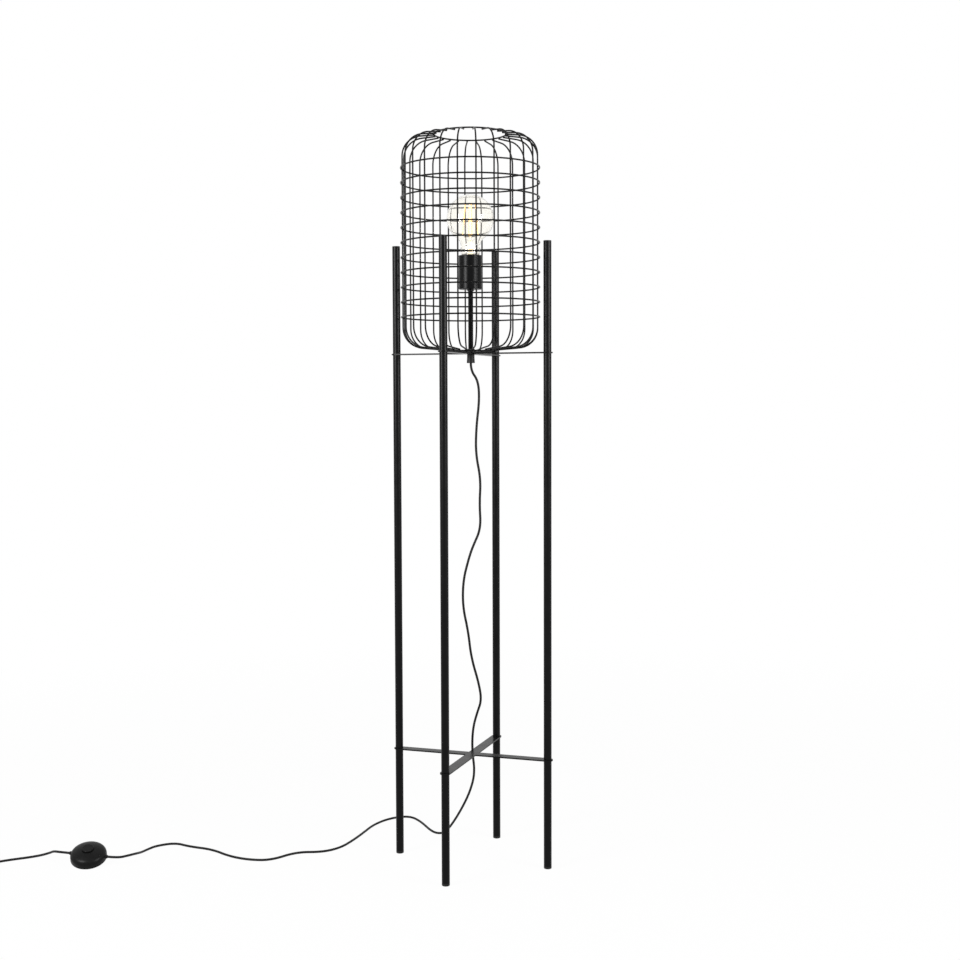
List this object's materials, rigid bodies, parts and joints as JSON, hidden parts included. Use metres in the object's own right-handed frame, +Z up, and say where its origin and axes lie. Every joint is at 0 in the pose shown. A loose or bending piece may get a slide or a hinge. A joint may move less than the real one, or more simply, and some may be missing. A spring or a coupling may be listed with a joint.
{
  "type": "floor lamp",
  "caption": "Tall slim floor lamp: four black tube legs joined by two flat crosses carry a round wire cage with a bare globe bulb, on a cord with a foot switch and plug.",
  "frame": {"origin": "on the floor, under the axis of the cage, midway between the four feet", "axes": "+Z up along the axis of the cage, -Y towards the front leg, +X towards the right leg"},
  "size_m": [1.1342, 0.5682, 1.399],
  "materials": {
    "black_paint": "satin",
    "black_plastic": "satin",
    "switch_plastic": "gloss",
    "cord_jacket": "satin",
    "steel": "satin",
    "brass": "satin",
    "nickel": "gloss",
    "ceramic": "satin",
    "cap_insulator": "gloss",
    "glass": "gloss",
    "phosphor": "matte"
  },
  "bodies": {
    "lamp": {"leg_front_lower": "black_paint", "leg_front_middle": "black_paint", "leg_front_upper": "black_paint", "foot_cap_front": "black_plastic", "leg_rear_lower": "black_paint", "leg_rear_middle": "black_paint", "leg_rear_upper": "black_paint", "foot_cap_rear": "black_plastic", "leg_left_lower": "black_paint", "leg_left_middle": "black_paint", "leg_left_upper": "black_paint", "foot_cap_left": "black_plastic", "leg_right_lower": "black_paint", "leg_right_middle": "black_paint", "leg_right_upper": "black_paint", "foot_cap_right": "black_plastic", "leg_plugs": "black_plastic", "leg_inserts": "steel", "leg_studs": "steel", "lower_strip_left_right": "black_paint", "lower_strip_front_rear": "black_paint", "upper_strip_left_right": "black_paint", "upper_strip_front_rear": "black_paint", "cage_uprights": "black_paint", "cage_hoops": "black_paint", "cage_top_ring": "black_paint", "cage_bottom_ring": "black_paint", "cage_spider": "black_paint", "stem_tube": "black_paint", "stem_washer": "steel", "stem_nut": "steel", "holder_collar": "black_paint", "cord_grip": "black_plastic", "cord_grip_screw": "steel", "cord_in_stem": "cord_jacket", "holder_sleeve": "black_paint", "holder_base": "black_plastic", "holder_insulator": "ceramic", "holder_thread_shell": "brass", "holder_centre_contact": "brass", "terminal_screws": "steel", "cord_lead": "cord_jacket", "cord_tail": "cord_jacket", "cord_coil": "cord_jacket", "switch_cover": "switch_plastic", "switch_base": "switch_plastic", "switch_screws": "steel", "switch_spring": "steel", "plug_body": "cord_jacket", "plug_pins": "nickel"},
    "bulb": {"bulb_cap": "nickel", "bulb_cap_insulator": "cap_insulator", "bulb_glass": "glass", "bulb_glass_stem": "glass", "bulb_filaments": "phosphor", "bulb_support_wires": "steel"},
    "foot_button": {"switch_button": "switch_plastic"}
  },
  "joints": [
    {"name": "bulb_removal", "type": "slide", "parent": "lamp", "child": "bulb", "axis": [0, 0, 1], "range_m": [0, 0.255]},
    {"name": "foot_button_press", "type": "slide", "parent": "lamp", "child": "foot_button", "axis": [-0.1461, 0.3361, -0.9304], "range_m": [0, 0.003], "stiffness_N_per_m": 1500, "springref_m": -0.002, "deforming": ["switch_spring"]}
  ]
}
